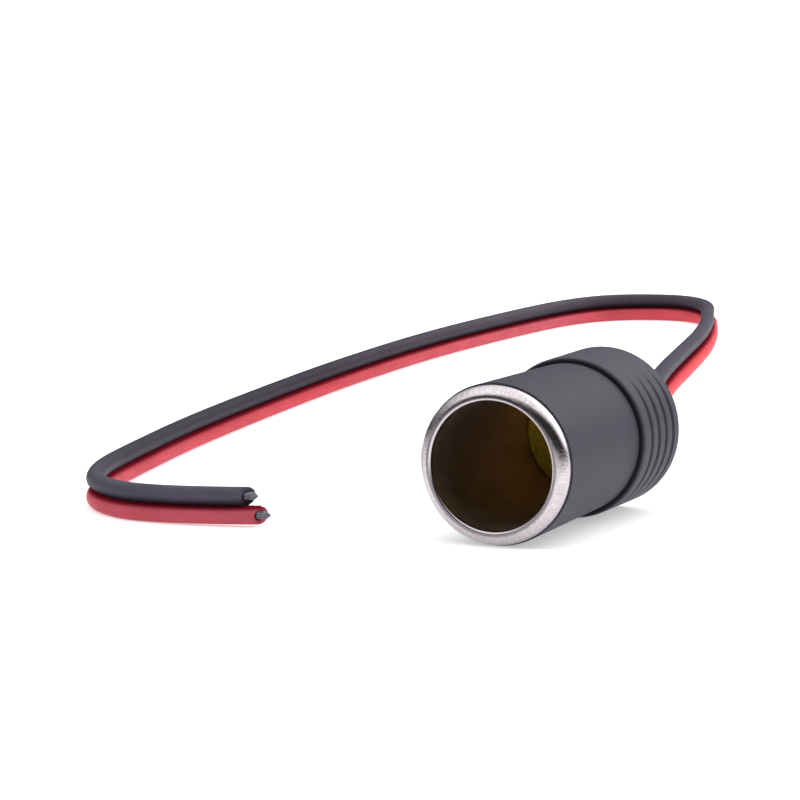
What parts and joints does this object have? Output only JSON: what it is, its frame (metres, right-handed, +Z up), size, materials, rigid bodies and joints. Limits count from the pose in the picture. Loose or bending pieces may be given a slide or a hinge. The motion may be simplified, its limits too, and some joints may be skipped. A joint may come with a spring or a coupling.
{
  "type": "car 12 v power socket",
  "caption": "In-line female car power socket: rolled-lip metal shell in a black sleeve with a ribbed rear cap, on a red and black twin lead with bare tinned ends.",
  "frame": {"origin": "on the surface the socket lies on, under the middle of the socket's own length", "axes": "+Y from the mouth towards the cable end, +Z up, so the mouth faces -Y"},
  "size_m": [0.127, 0.3157, 0.0272],
  "materials": {
    "black_plastic": "satin moulded",
    "plated_steel": "satin nickel plate",
    "olive_laminate": "matt laminate",
    "contact_brass": "dull",
    "tinned_copper": "dull tinned",
    "black_rubber": "matt",
    "red_insulation": "soft gloss",
    "black_insulation": "soft gloss"
  },
  "bodies": {
    "root": {"barrel_sleeve": "black_plastic", "rear_cap": "black_plastic", "socket_shell": "plated_steel", "insulator_disc": "olive_laminate", "centre_contact": "contact_brass", "rear_insulator": "olive_laminate", "positive_tag": "contact_brass", "negative_tag": "contact_brass", "negative_rivet": "plated_steel", "red_inner_core": "tinned_copper", "black_inner_core": "tinned_copper", "positive_solder": "tinned_copper", "negative_solder": "tinned_copper", "cable_grommet": "black_rubber", "red_lead": "red_insulation", "black_lead": "black_insulation", "red_wire_end": "tinned_copper", "black_wire_end": "tinned_copper"}
  },
  "joints": []
}
